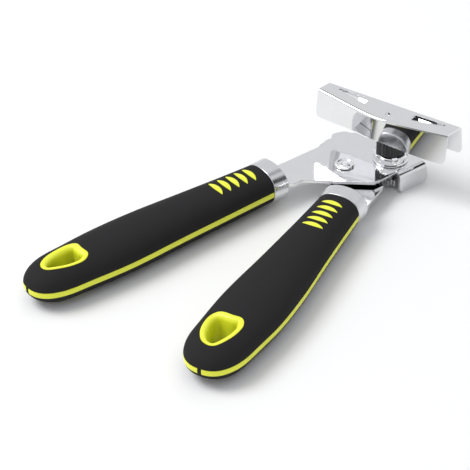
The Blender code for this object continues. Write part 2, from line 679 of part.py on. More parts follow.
def main():
    clear_scene()
    black = material("soft_black", (0.02, 0.019, 0.021), 0.62)
    lime = material("lime_plastic", (0.72, 0.8, 0.03), 0.4)
    polished = material("polished_steel", (0.78, 0.78, 0.79), 0.08, 1.0)
    satin = material("satin_steel", (0.7, 0.7, 0.72), 0.3, 1.0)
    chrome = material("chrome", (0.85, 0.85, 0.86), 0.04, 1.0)
    hardened = material("hardened_steel", (0.5, 0.5, 0.52), 0.25, 1.0)
    ribbed = material("black_plastic", (0.012, 0.012, 0.013), 0.45)

    upper = frame_empty("upper_jaw_frame", PIVOT, -HALF_SPREAD)
    lower = frame_empty("lower_jaw_frame", PIVOT, HALF_SPREAD)
    upper_grip = frame_empty("upper_grip_frame", UPPER_BUTT, parent=upper)
    lower_grip = frame_empty("lower_grip_frame", LOWER_BUTT, parent=lower)
    key = frame_empty("key_frame", SHAFT, KEY_ANGLE)
    blade = frame_empty("cutter_frame", CUTTER_IN_JAW, parent=lower)

    upper_tang = ((-5.5 * MM, UPPER_BOTTOM), (3.5 * MM, UPPER_TOP))
    lower_tang = ((-5 * MM, LOWER_BOTTOM), (5 * MM, LOWER_TOP))
    make_upper_plate(upper, polished)
    make_lower_plate(lower, polished)
    make_grip("upper", upper_grip, upper_tang, black, lime)
    make_grip("lower", lower_grip, lower_tang, black, lime)
    upper_neck = ((-9.4 * MM, UPPER_BOTTOM), (4.8 * MM, UPPER_TOP))
    lower_neck = ((-8.9 * MM, LOWER_BOTTOM), (9.2 * MM, LOWER_TOP))
    make_ferrule("upper_ferrule", upper_grip, upper_neck, satin)
    make_ferrule("lower_ferrule", lower_grip, lower_neck, satin)
    make_pivot(upper, chrome)
    make_cutter(lower, blade, chrome, hardened)
    make_bush(key, chrome)
    make_key(key, chrome)
    make_sleeve(key, ribbed)
    make_drive(key, chrome, hardened)
    make_feed_wheel(key, hardened)


main()
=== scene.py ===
"""The manual can opener's looks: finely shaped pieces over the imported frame, on a pale floor in soft light.

Lengths are in metres, in the frame's axes. Each jaw is drawn in its own frame: the origin is on the jaw
hinge and +X runs along the handle towards the head. Each grip is drawn from its butt.
"""

import json
import math

import bmesh
import bpy
import numpy as np
from mathutils import Matrix, Vector


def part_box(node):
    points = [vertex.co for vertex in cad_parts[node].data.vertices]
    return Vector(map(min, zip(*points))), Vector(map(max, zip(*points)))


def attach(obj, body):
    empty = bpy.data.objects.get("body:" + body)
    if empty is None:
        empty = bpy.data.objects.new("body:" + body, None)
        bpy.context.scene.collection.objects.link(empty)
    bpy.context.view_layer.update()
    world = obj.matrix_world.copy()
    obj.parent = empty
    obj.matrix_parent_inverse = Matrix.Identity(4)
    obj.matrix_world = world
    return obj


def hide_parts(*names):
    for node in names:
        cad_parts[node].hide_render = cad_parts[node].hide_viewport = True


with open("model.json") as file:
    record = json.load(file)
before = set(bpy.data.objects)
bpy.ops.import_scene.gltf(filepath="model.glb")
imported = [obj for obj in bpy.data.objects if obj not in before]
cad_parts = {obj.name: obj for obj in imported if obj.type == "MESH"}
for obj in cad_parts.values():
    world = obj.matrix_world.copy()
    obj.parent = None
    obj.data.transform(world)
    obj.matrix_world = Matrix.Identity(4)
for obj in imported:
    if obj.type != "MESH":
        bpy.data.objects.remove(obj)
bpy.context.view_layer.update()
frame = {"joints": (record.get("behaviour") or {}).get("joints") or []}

MM = 0.001
TINY = 1e-7
HINGE = {joint["name"]: Vector(joint["pos_m"]) for joint in frame["joints"]}
PIVOT = HINGE["jaw_hinge"]
SHAFT = HINGE["crank_turn"]
CUTTER = HINGE["cutter_spin"]

# ---- plan ----
HALF_SPREAD = math.radians(11.66)        # each handle's angle to the X axis
KEY_ANGLE = math.radians(96.9)
UPPER_BUTT = (-162.6 * MM, 13.7 * MM)    # in the upper jaw's frame
LOWER_BUTT = (-156.2 * MM, -12.3 * MM)   # in the lower jaw's frame

# ---- heights, from the frame ----
LOWER_BOTTOM, LOWER_TOP = (corner.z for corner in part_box("lower_plate"))
UPPER_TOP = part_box("upper_plate")[1].z
SHEET = LOWER_TOP - LOWER_BOTTOM
UPPER_BOTTOM = UPPER_TOP - SHEET
KEY_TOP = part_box("crank_key")[1].z
KEY_BOTTOM = 22.05 * MM

# ---- grips ----
GRIP_LENGTH = 125 * MM
GRIP_MIDDLE = 9.2 * MM                   # height of its middle
GRIP_REACH = 12 * MM                     # from its middle to well past either face
SIDE_REACH = 30 * MM                     # and past either side
BUTT_START = 0.004 * MM                  # where its first section is
NOSE_LENGTH = 20 * MM
NOSE_POWER = 2.4
NOSE_DEPTH = 15 * MM
NOSE_DEPTH_POWER = 2.2
SECTION_POWER = 2.3
SEAM = 0.2 * MM                          # between pieces that would touch
COVER_WALL = 2.8 * MM
STRIPE_MIDDLE = 8.8 * MM
STRIPE_HALF = 1.35 * MM
BRIDGE_HALF = 0.9 * MM                   # the cover crosses the stripe at the butt
BRIDGE_DEPTH = 6.5 * MM
# Half-widths and half-heights, each as (distance from the butt, size) in millimetres. WIDTHS has the
# left side first, as seen from above with the head in front.
UPPER_OUTER = [(0, 11.0), (20, 12.3), (40, 13.9), (62, 13.8), (88, 12.0), (110, 10.7), (125, 10.2)]
UPPER_INNER = [(0, 12.3), (20, 12.6), (42, 13.6), (75, 12.2), (105, 11.0), (125, 10.2)]
LOWER_OUTER = [(0, 12.6), (20, 14.1), (40, 15.7), (62, 15.2), (88, 12.9), (110, 11.2), (125, 10.2)]
LOWER_INNER = [(0, 13.4), (20, 13.9), (42, 14.4), (75, 12.3), (105, 10.8), (125, 10.2)]
WIDTHS = {"upper": (UPPER_OUTER, UPPER_INNER), "lower": (LOWER_INNER, LOWER_OUTER)}
HALF_HEIGHTS = [(0, 8.3), (20, 8.7), (55, 9.2), (90, 8.9), (110, 8.5), (125, 8.1)]
HEART_HALF = [(7.9, 0), (9.3, 3.0), (14.0, 5.4), (20.0, 6.7), (25.3, 6.6), (28.5, 4.3), (28.4, 0)]
HEART_LEAN = 1.36                        # the lower grip's hole is wider by this factor on its inner side
RIM_WIDTH = 2.7 * MM                     # the liner rolls over from its rim to its wall in this width
RIM_DEPTH = 3.4 * MM
RIM_FULLNESS = 2.6
RIM_START = 0.25 * MM                    # the roll-over starts this far inside the hole's outline
RIM_RISE = 0.1 * MM                      # and this far above the grip's surface
DASH_COUNT = 5
DASH_FIRST = 99.8 * MM
DASH_PITCH = 4.68 * MM
DASH_HALF = 5.0 * MM
DASH_BULGE = 1.9 * MM                    # of the edge towards the head
DASH_BACK = 0.8 * MM                     # of the edge towards the butt
DASH_FULLNESS = 0.8

# ---- ferrules ----
FERRULE_LENGTH = 8 * MM
FERRULE_WALL = 0.9 * MM
FERRULE_BACK = (10.4 * MM, 8.3 * MM)     # half-width and half-height next to the grip
FERRULE_FRONT = (10.9 * MM, 8.5 * MM)
FERRULE_BACK_ROLL = 0.3 * MM             # radii of the rolled edges
FERRULE_FRONT_ROLL = 0.8 * MM
FERRULE_SLOT = 4 * MM                    # how far back the slot for the jaw's neck goes

# ---- jaws ----
UPPER_NECK = (-9.4, 4.8)                 # right and left edges in millimetres, from the grip's axis
LOWER_NECK = (-8.9, 9.2)
TANG_END = 126                           # millimetres from the butt
PLATE_EDGE = 0.15 * MM
PIVOT_BORE = 3.25                        # radius in millimetres
BUSH_SEAT = 5.5 * MM                     # radii of the holes for the bush and the cutter's rivet
AXLE_SEAT = 2.75 * MM

# ---- key ----
KEY_HALF = 33.5 * MM
KEY_SHEET = 1.2 * MM
KEY_EDGE = 0.16 * MM
KEY_CORNER = 2.2 * MM                    # radius of the flanges' lower corners
KEY_MIDDLE = 1.24 * MM                   # of its length, past the shaft
KEY_NEAR_BEND = 1.4 * MM
KEY_FAR_BEND = 2.2 * MM
KEY_FAR = 5.04 * MM                      # the far flange's outer face
KEY_LEAN = math.radians(9)               # the far flange leans outwards
KEY_NEAR_LEAN = math.radians(4.5)        # and so does the near one
KEY_SKEW = 1.7 * MM                      # the near flange sits this much further along
KEY_NEAR_END = 4.66 * MM                 # the near flange's outer face, at the key's ends
KEY_NEAR_SLOPE = 0.2                     # it bows outwards towards its middle
KEY_NEAR_TURN = 0.015
KEY_NEAR_BLEND = 5 * MM
KEY_DROP = 0.7 * MM                      # the near flange's lower edge slopes by this much each way
KEY_ARCH = 3.2 * MM                      # and rises by this much in its middle
KEY_ARCH_MIDDLE = 3 * MM                 # where along the key it rises most
KEY_HOLE = (-0.4 * MM, 4.6 * MM)         # its middle, from the shaft
KEY_HOLE_RADIUS = 1.5 * MM
KEY_SLOT = (11.6, 27.4)                  # its wide and its pointed end, in millimetres

# ---- lip, in the upper jaw's frame ----
LIP_FROM = 14.9                          # its ends, in millimetres
LIP_TO = 32.4
LIP_SLANT = 2.6                          # it narrows by this much from its free end to its bend
LIP_FACE = -21.1 * MM
LIP_BEND = 3.0 * MM
LIP_LIFT = 0.05 * MM                     # its foot is this far above the floor

# ---- light ----
BACKDROP = 1.0
WALL_LIGHT = 0.84
WALL_COLOUR = (0.97, 0.98, 1.0)
FLOOR_COLOUR = (0.93, 0.93, 0.935)
FLOOR_REACH = 6.0
DEEP_REFLECTION = 2.5                    # past this many bounces the key glows a plain grey
DEEP_GREY = (0.68, 0.68, 0.69)
# Each card: headings and heights in degrees, its edge's softness, and how much light it leaves.
CARDS = [
    ((-185, -100), (2, 28), 6, 0.12),    # low behind the camera, for the round chrome
    ((48, 78), (44, 60), 3, 0.15),       # past the head, for the key's bend
    ((-90, -42), (22, 50), 4, 0.05),     # for the lip's bend
    ((-20, 12), (55, 80), 5, 0.3),       # high up, for the collars' near shoulders
]


# ---------------------------------------------------------------- frames and finished pieces


def place(origin, angle=0.0):
    """The frame at an origin in plan, turned about Z."""
    return Matrix.Translation((origin[0], origin[1], 0)) @ Matrix.Rotation(angle, 4, "Z")


UPPER = place(PIVOT, -HALF_SPREAD)
LOWER = place(PIVOT, HALF_SPREAD)
UPPER_GRIP = UPPER @ place(UPPER_BUTT)
LOWER_GRIP = LOWER @ place(LOWER_BUTT)
KEY = place(SHAFT, KEY_ANGLE)
BLADE = place(CUTTER)


def add_object(name, data):
    """A new object in the scene."""
    made = bpy.data.objects.new(name, data)
    bpy.context.scene.collection.objects.link(made)
    return made


def add_piece(name, mesh, matrix, body, node, slot, sharp=38, weighted=True, finish=None):
    """A visible piece, smooth apart from its sharp edges, riding on its body in place of its CAD node."""
    mesh = mesh.copy()
    mesh.name = name
    mesh.transform(matrix)
    mesh.materials.clear()
    mesh.materials.append(FINISHES[finish or slot])
    mesh.shade_smooth()
    mesh.set_sharp_from_angle(angle=math.radians(sharp))
    piece = add_object(name, mesh)
    if weighted:
        normals = piece.modifiers.new("normals", "WEIGHTED_NORMAL")
        normals.keep_sharp = True
    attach(piece, body)
    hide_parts(node)


# ---------------------------------------------------------------- outlines and meshes


def smooth_curve(knots, x):
    """The height at x of a smooth curve through the knots in millimetres, given and returned in metres."""
    xs, ys = np.array(knots, float).T
    slopes = np.gradient(ys, xs)
    x = np.clip(x / MM, xs[0], xs[-1])
    i = int(np.clip(np.searchsorted(xs, x) - 1, 0, len(xs) - 2))
    h = xs[i + 1] - xs[i]
    u = (x - xs[i]) / h
    value = (1 + 2 * u) * (1 - u) ** 2 * ys[i] + u * (1 - u) ** 2 * h * slopes[i]
    value += u * u * (3 - 2 * u) * ys[i + 1] + u * u * (u - 1) * h * slopes[i + 1]
    return value * MM


def rounded(corners, segments=10):
    """An outline in metres from corners (x, y, radius) in millimetres, each turned into an arc."""
    points = []
    for i, (x, y, radius) in enumerate(corners):
        corner = np.array((x, y), float)
        before = np.array(corners[i - 1][:2]) - corner
        after = np.array(corners[(i + 1) % len(corners)][:2]) - corner
        before = before / np.linalg.norm(before)
        after = after / np.linalg.norm(after)
        half = math.acos(np.clip(before @ after, -1, 1)) / 2
        if radius == 0 or half > math.radians(88):
            points.append(corner)
            continue
        middle = corner + (before + after) / np.linalg.norm(before + after) * radius / math.sin(half)
        start = corner + before * radius / math.tan(half) - middle
        end = corner + after * radius / math.tan(half) - middle
        for k in range(segments + 1):
            blend = start * (1 - k / segments) + end * k / segments
            points.append(middle + blend / np.linalg.norm(blend) * radius)
    return [tuple(point * MM) for point in points]


def closed_spline(points, steps):
    """A smooth closed outline through the points."""
    points = np.array(points, float)
    count = len(points)
    found = []
    for i in range(count):
        a, b, c, d = (points[(i + k) % count] for k in (-1, 0, 1, 2))
        for k in range(steps):
            u = k / steps
            curve = 2 * b + (c - a) * u + (2 * a - 5 * b + 4 * c - d) * u**2
            found.append((curve + (3 * b - a - 3 * c + d) * u**3) / 2)
    return np.array(found)


def inset(outline, distance):
    """The outline, which runs anticlockwise, moved inwards."""
    outline = np.array(outline)
    along = np.roll(outline, -1, 0) - np.roll(outline, 1, 0)
    inwards = np.stack([-along[:, 1], along[:, 0]], 1)
    return outline + inwards / np.linalg.norm(inwards, axis=1)[:, None] * distance


def rectangle(x0, y0, x1, y1):
    """An outline, anticlockwise from its lowest corner."""
    return [(x0, y0), (x1, y0), (x1, y1), (x0, y1)]


def circle(radius, sides=72, centre=(0, 0)):
    """An outline with many short sides."""
    angles = np.arange(sides) * math.tau / sides
    return [(centre[0] + radius * math.cos(a), centre[1] + radius * math.sin(a)) for a in angles]


def evaluated(data, modifiers=()):
    """A mesh made from a curve or mesh, after some modifiers: (type, settings) pairs."""
    holder = add_object("work", data)
    for kind, settings in modifiers:
        modifier = holder.modifiers.new(kind.lower(), kind)
        for key, value in settings.items():
            setattr(modifier, key, value)
    graph = bpy.context.evaluated_depsgraph_get()
    mesh = bpy.data.meshes.new_from_object(holder.evaluated_get(graph))
    bpy.data.objects.remove(holder)
    return mesh


def carved(mesh, keep=(), cut=(), add=()):
    """The mesh after its Booleans with other meshes."""
    helpers = []
    settings = []
    for operation, others in (("UNION", add), ("INTERSECT", keep), ("DIFFERENCE", cut)):
        for other in others:
            helper = add_object("helper", other)
            helpers.append(helper)
            settings.append(("BOOLEAN", {"operation": operation, "object": helper, "solver": "EXACT"}))
    made = evaluated(mesh, settings)
    for helper in helpers:
        bpy.data.objects.remove(helper)
    return made


def bevelled(mesh, width, segments=3):
    """The mesh with its sharp edges rounded."""
    limit = {"limit_method": "ANGLE", "angle_limit": math.radians(40)}
    return evaluated(mesh, [("BEVEL", {"width": width, "segments": segments, **limit})])


def flat_mesh(outlines, bottom, top, edge=0.0):
    """A plate between two heights from its outline and any holes, with edges rounded by a radius."""
    curve = bpy.data.curves.new("outline", "CURVE")
    curve.dimensions = "2D"
    curve.fill_mode = "BOTH"
    curve.extrude = (top - bottom) / 2 - edge
    curve.bevel_depth = edge
    curve.bevel_resolution = 2
    curve.offset = -edge
    for outline in outlines:
        spline = curve.splines.new("POLY")
        spline.points.add(len(outline) - 1)
        for point, (x, y) in zip(spline.points, outline):
            point.co = (x, y, 0, 1)
        spline.use_cyclic_u = True
    mesh = evaluated(curve)
    work = bmesh.new()
    work.from_mesh(mesh)
    bmesh.ops.translate(work, vec=(0, 0, (top + bottom) / 2), verts=work.verts)
    bmesh.ops.remove_doubles(work, verts=work.verts, dist=TINY)
    bmesh.ops.recalc_face_normals(work, faces=work.faces)
    work.to_mesh(mesh)
    work.free()
    return mesh


def mesh_from(work, name):
    """A new mesh with what the bmesh holds."""
    mesh = bpy.data.meshes.new(name)
    work.to_mesh(mesh)
    work.free()
    return mesh


def loft_mesh(rings):
    """A closed mesh through rings of points, with flat ends."""
    work = bmesh.new()
    made = [[work.verts.new(point) for point in ring] for ring in rings]
    for ring, following in zip(made, made[1:]):
        for i in range(len(ring)):
            j = (i + 1) % len(ring)
            work.faces.new((ring[i], ring[j], following[j], following[i]))
    work.faces.new(reversed(made[0]))
    work.faces.new(made[-1])
    bmesh.ops.recalc_face_normals(work, faces=work.faces)
    return mesh_from(work, "loft")


def turned(profile, steps=96, radius=0.12):
    """A round solid from (radius, height) corners in millimetres, each corner off the axis rounded."""
    bored = profile[0][0] > 0
    corners = [(r, z, 0 if r == 0 else radius) for r, z in profile]
    outline = rounded(corners, 3) if bored else open_profile(corners)
    work = bmesh.new()
    rows = []
    for r, z in outline:
        count = 1 if r < TINY else steps
        angles = [math.tau * k / steps for k in range(count)]
        rows.append([work.verts.new((r * math.cos(a), r * math.sin(a), z)) for a in angles])
    following_rows = rows[1:] + rows[:1] if bored else rows[1:]
    for row, following in zip(rows, following_rows):
        for k in range(steps):
            face = [row[k % len(row)], row[(k + 1) % len(row)]]
            face += [following[(k + 1) % len(following)], following[k % len(following)]]
            work.faces.new(list(dict.fromkeys(face)))
    bmesh.ops.recalc_face_normals(work, faces=work.faces)
    return mesh_from(work, "turned")


def open_profile(corners):
    """A rounded profile whose two ends are on the axis: its first and last points stay where they are."""
    beyond = -20
    (_, top, _), (_, bottom, _) = corners[0], corners[-1]
    points = rounded([*corners, (beyond, bottom, 0), (beyond, top, 0)], 3)
    return points[:-2]


# ---------------------------------------------------------------- grips


def nose(x, length, power):
    """How much of its full size the grip has at x, as it rounds off to the butt."""
    if x >= length:
        return 1.0
    return (1 - (1 - x / length) ** power) ** (1 / power)


def grip_size(x, jaw):
    """The grip's half-height, left half-width and right half-width at x."""
    thickness = smooth_curve(HALF_HEIGHTS, x) * nose(x, NOSE_DEPTH, NOSE_DEPTH_POWER)
    round_off = nose(x, NOSE_LENGTH, NOSE_POWER)
    left, right = (smooth_curve(knots, x) * round_off for knots in WIDTHS[jaw])
    return thickness, left, right


def superellipse(angle):
    """A point on the unit outline that both grips and ferrules have in section."""
    across = math.copysign(abs(math.cos(angle)) ** (2 / SECTION_POWER), math.cos(angle))
    up = math.copysign(abs(math.sin(angle)) ** (2 / SECTION_POWER), math.sin(angle))
    return across, up


def grip_body(jaw, start=BUTT_START, shrink=0.0, points=96):
    """The grip's closed form from its start to its full length, shrunk all round."""
    first = math.acos((1 - start / NOSE_LENGTH) ** (NOSE_POWER / 2))
    turns = np.linspace(first, math.pi / 2, 26)
    stations = [NOSE_LENGTH * (1 - math.cos(turn) ** (2 / NOSE_POWER)) for turn in turns[:-1]]
    stations += list(np.linspace(NOSE_LENGTH, GRIP_LENGTH, 44))
    rings = []
    for x in stations:
        thickness, left, right = (size - shrink for size in grip_size(x, jaw))
        ring = []
        for i in range(points):
            across, up = superellipse(math.tau * (i + 0.5) / points)
            ring.append((x, across * (left if across > 0 else right), GRIP_MIDDLE + up * thickness))
        rings.append(ring)
    return loft_mesh(rings)


def grip_surface(x, y, jaw):
    """The height of the grip's upper surface above its middle."""
    steepest = 0.98
    thickness, left, right = grip_size(x, jaw)
    share = min(abs(y) / (left if y > 0 else right), steepest)
    return thickness * (1 - share**SECTION_POWER) ** (1 / SECTION_POWER)


def heart_outline(jaw, distance=0.0):
    """The hanging hole's rim, tip towards the butt, moved inwards by a distance."""
    left = [(x, y * HEART_LEAN if jaw == "lower" else y) for x, y in HEART_HALF]
    right = [(x, -y) for x, y in reversed(HEART_HALF[1:-1])]
    outline = closed_spline(left + right, 10)[::-1] * MM
    return inset(outline, distance)


def heart_hole(jaw):
    """The hanging hole. Its edge rolls over from the grip's surface into the wall on both faces."""
    rim = heart_outline(jaw)
    heights = [grip_surface(x, y, jaw) for x, y in rim]
    levels = [(0.1 * MM, -2 * MM)]       # clear of the surface
    for turn in np.linspace(0, math.pi / 2, 11):
        across = RIM_WIDTH * math.sin(turn) ** (2 / RIM_FULLNESS)
        down = RIM_DEPTH * (1 - max(math.cos(turn), 0) ** (2 / RIM_FULLNESS))
        levels.append((RIM_START + across, down - RIM_RISE))
    rings = []
    for face in (-1, 1):
        for distance, depth in levels[::-face]:
            points = zip(heart_outline(jaw, distance), heights)
            rings.append([(x, y, GRIP_MIDDLE + face * (height - depth)) for (x, y), height in points])
    return loft_mesh(rings)


def dash_outline(index, grown):
    """One crescent, more curved towards the head than towards the butt."""
    x = DASH_FIRST + index * DASH_PITCH
    half = DASH_HALF + grown
    across = half * np.sin(np.linspace(-math.pi / 2, math.pi / 2, 29))
    arch = (1 - (across / half) ** 2).clip(0) ** DASH_FULLNESS
    back = [(x - grown - DASH_BACK * a, -y) for y, a in zip(across, arch)]
    front = [(x + grown + DASH_BULGE * a, y) for y, a in zip(across, arch)]
    return front[1:-1] + back


def lime_mask(jaw, grown):
    """All that the hard core fills inside the grip: its body, stripe, hole liner and crescents."""
    body = grip_body(jaw, BRIDGE_DEPTH + SEAM - grown, shrink=COVER_WALL - grown, points=48)
    half = BRIDGE_HALF - grown
    bridge = rectangle(-SIDE_REACH, -half, BRIDGE_DEPTH - grown, half)
    stripe = rectangle(-SIDE_REACH, -SIDE_REACH, GRIP_LENGTH + grown, SIDE_REACH) + bridge[::-1]
    half_height = STRIPE_HALF + grown
    bottom, top = GRIP_MIDDLE - GRIP_REACH, GRIP_MIDDLE + GRIP_REACH
    parts = [flat_mesh([stripe], STRIPE_MIDDLE - half_height, STRIPE_MIDDLE + half_height)]
    parts.append(flat_mesh([heart_outline(jaw, -grown)], bottom, top))
    for i in range(DASH_COUNT):
        parts.append(flat_mesh([dash_outline(i, grown)], GRIP_MIDDLE, top))
    return carved(body, add=parts)


def make_grip(jaw, matrix):
    """The hard core and the soft cover, cut out of one outer form."""
    body = jaw + "_jaw"
    outside = grip_body(jaw)
    core = carved(outside, keep=[lime_mask(jaw, 0)], cut=[heart_hole(jaw)])
    cover = carved(outside, cut=[lime_mask(jaw, SEAM)])
    add_piece(jaw + "_core", core, matrix, body, jaw + "_grip_core", "lime_plastic", weighted=False)
    add_piece(jaw + "_cover", cover, matrix, body, jaw + "_grip_cover", "soft_black", weighted=False)


# ---------------------------------------------------------------- ferrules


def oval_ring(x, half_width, half_height):
    """The collar's section at x."""
    points = 128
    ring = []
    for i in range(points):
        across, up = superellipse(math.tau * (i + 0.5) / points)
        ring.append((x, across * half_width, GRIP_MIDDLE + up * half_height))
    return ring


def make_ferrule(jaw, matrix, neck, bottom, top):
    """A drawn collar with rolled edges and a closed end, slotted for the jaw's neck."""
    back = GRIP_LENGTH + SEAM
    front = GRIP_LENGTH + FERRULE_LENGTH
    stations = []
    for turn in np.linspace(0, math.pi / 2, 5):
        x = back + FERRULE_BACK_ROLL * (1 - math.cos(turn))
        stations.append((x, FERRULE_BACK_ROLL * (1 - math.sin(turn))))
    for turn in np.linspace(0, math.pi / 2, 8):
        x = front - FERRULE_FRONT_ROLL * (1 - math.sin(turn))
        stations.append((x, FERRULE_FRONT_ROLL * (1 - math.cos(turn))))
    rings = []
    for x, shrink in stations:
        share = (x - back) / (front - back)
        sizes = [a + (b - a) * share - shrink for a, b in zip(FERRULE_BACK, FERRULE_FRONT)]
        rings.append(oval_ring(x, *sizes))
    bore = [size - FERRULE_WALL for size in FERRULE_BACK]
    painted_shade_ao = [oval_ring(x, *bore) for x in (back - MM, front - FERRULE_WALL)]
    right, left = (edge * MM for edge in neck)
    slot = rectangle(front - FERRULE_SLOT, right - SEAM, front + MM, left + SEAM)
    slot = flat_mesh([slot], bottom - SEAM, top + SEAM)
    collar = carved(loft_mesh(rings), cut=[loft_mesh(painted_shade_ao), slot])
    add_piece(jaw + "_collar", collar, matrix, jaw + "_jaw", jaw + "_ferrule", "satin_steel")


# ---------------------------------------------------------------- jaws


def from_butt(corners, butt):
    """Corners in millimetres from a grip's butt, moved to its jaw's frame."""
    return [(x + butt[0] / MM, y + butt[1] / MM, radius) for x, y, radius in corners]


def folded(mesh, line, radius, sheet_top):
    """The flat sheet bent down past y = line. The radius is that of its outer face."""
    middle = radius - SHEET / 2
    arc = middle * math.pi / 2
    work = bmesh.new()
    work.from_mesh(mesh)
    for share in np.linspace(0, 1, 13):
        everything = list(work.verts) + list(work.edges) + list(work.faces)
        cut = {"plane_co": (0, line - arc * share, 0), "plane_no": (0, 1, 0)}
        bmesh.ops.bisect_plane(work, geom=everything, dist=TINY, **cut)
    for vertex in work.verts:
        past = line - vertex.co.y
        if past <= 0:
            continue
        out = vertex.co.z - (sheet_top - radius)
        turn = min(past, arc) / middle
        vertex.co.y = line - out * math.sin(turn)
        vertex.co.z = sheet_top - radius + out * math.cos(turn) - max(past - arc, 0)
    work.to_mesh(mesh)
    work.free()
    return mesh


def make_upper_plate():
    """The jaw on top, whose lip is folded down to the floor."""
    lip_line = LIP_FACE + LIP_BEND
    lip_end = lip_line - (LIP_BEND - SHEET / 2) * math.pi / 2 - (UPPER_TOP - LIP_BEND - LIP_LIFT)
    lip_end = lip_end / MM - UPPER_BUTT[1] / MM
    left, right = LIP_FROM - UPPER_BUTT[0] / MM, LIP_TO - UPPER_BUTT[0] / MM
    neck_right, neck_left = UPPER_NECK
    corners = [
        (TANG_END, neck_right, 0), (133.6, neck_right, 0.4), (135.6, -11.1, 1), (140.0, -11.1, 1.5),
        (164.4, -32.5, 2), (left - 0.8, -32.5, 0.5), (left, -31.0, 0.2), (left, lip_end, 3.0),
        (right, lip_end, 3.0), (right - LIP_SLANT, -28.6, 2), (191.6, -20, 6), (189, -9, 7),
        (185, -2.7, 3), (183.8, 4.0, 2.5), (176, 5.2, 6), (169.8, 7.2, 3.5),
        (163.5, neck_left, 6), (TANG_END, neck_left, 0),
    ]
    outline = rounded(from_butt(corners, UPPER_BUTT))
    bush = UPPER.inverted() @ Vector((SHAFT.x, SHAFT.y, 0))
    holes = [circle(PIVOT_BORE * MM), circle(BUSH_SEAT, centre=bush)]
    plate = flat_mesh([outline, *holes], UPPER_BOTTOM, UPPER_TOP, PLATE_EDGE)
    plate = folded(plate, lip_line, LIP_BEND, UPPER_TOP)
    add_piece("jaw_plate_upper", plate, UPPER, "upper_jaw", "upper_plate", "polished_steel", sharp=50)


def make_lower_plate():
    """The jaw below, whose lobe carries the cutter."""
    neck_right, neck_left = LOWER_NECK
    corners = [
        (TANG_END, neck_right, 0), (153.2, neck_right, 2.5), (158.5, -3.4, 4), (162.8, 1.5, 6),
        (171, 7.8, 6), (181.3, 12.0, 4), (185.6, 20.4, 3), (185.0, 26.4, 3), (180.4, 30.6, 3),
        (173.2, 27.3, 4), (160, 27, 8), (148, 22.5, 6), (141.5, neck_left, 3), (TANG_END, neck_left, 0),
    ]
    outline = rounded(from_butt(corners, LOWER_BUTT))
    axle = LOWER.inverted() @ Vector((CUTTER.x, CUTTER.y, 0))
    holes = [circle(PIVOT_BORE * MM), circle(AXLE_SEAT, centre=axle)]
    plate = flat_mesh([outline, *holes], LOWER_BOTTOM, LOWER_TOP, PLATE_EDGE)
    add_piece("jaw_plate_lower", plate, LOWER, "lower_jaw", "lower_plate", "polished_steel", sharp=50)


def ring(bore, rim, bottom, top):
    """The profile of a plain washer, in millimetres."""
    return [(bore, top), (rim, top), (rim, bottom), (bore, bottom)]


def make_pivot():
    """The rivet with its ringed, domed head, and the plain rings on it."""
    head = UPPER_TOP / MM + 0.2          # its underside
    profile = [
        (0, head + 1.1), (1.2, head + 1.05), (2.2, head + 0.75), (2.7, head + 0.3), (3.1, head + 0.3),
        (3.5, head + 0.8), (4.1, head + 0.85), (4.6, head + 0.4), (4.6, head), (3.0, head),
        (3.0, 4.95), (4.7, 4.95), (4.7, 4.4), (3.6, 3.7), (0, 3.5),
    ]
    add_piece("pivot", turned(profile, radius=0.35), UPPER, "upper_jaw", "pivot_rivet", "chrome")
    spacer = turned(ring(PIVOT_BORE, 7.0, 8.15, 9.15))
    add_piece("spacer", spacer, UPPER, "upper_jaw", "pivot_spacer", "chrome")
    washer = turned(ring(PIVOT_BORE, 6.4, 5.2, 6.2))
    add_piece("washer_pivot", washer, UPPER, "upper_jaw", "pivot_washer", "chrome")


def make_cutter():
    """The bevelled cutting wheel and the shouldered rivet it turns on."""
    profile = [
        (0, 9.0), (2.6, 8.9), (3.4, 8.55), (3.4, 8.2), (2.5, 8.2), (2.5, 3.85), (4.6, 3.85),
        (4.6, 3.3), (3.8, 2.9), (0, 2.8),
    ]
    add_piece("axle", turned(profile), BLADE, "lower_jaw", "cutter_axle", "chrome")
    profile = [
        (2.8, 6.2), (4.8, 6.2), (5.2, 5.95), (9.9, 5.95), (10.0, 5.85), (9.1, 5.2), (8.4, 4.5),
        (5.4, 4.1), (2.8, 4.1),
    ]
    blade = turned(profile, steps=144, radius=0.05)
    add_piece("blade", blade, BLADE, "cutter", "cutter_wheel", "hardened_steel", sharp=25)


# ---------------------------------------------------------------- key and drive


def bend_path(middle, radius, start, end, side):
    """Points (y, height) round one of the key's bends. The radius is that of its outer face."""
    radius -= KEY_SHEET / 2
    height = KEY_TOP - KEY_SHEET / 2 - radius
    turns = np.linspace(start, end, 10)
    return [(middle + side * radius * (math.cos(t) - 1), height + radius * math.sin(t)) for t in turns]


def straight_path(start, end):
    """Points after start, as far as end."""
    steps = 4
    return [tuple(np.add(start, np.subtract(end, start) * k / steps)) for k in range(1, steps + 1)]


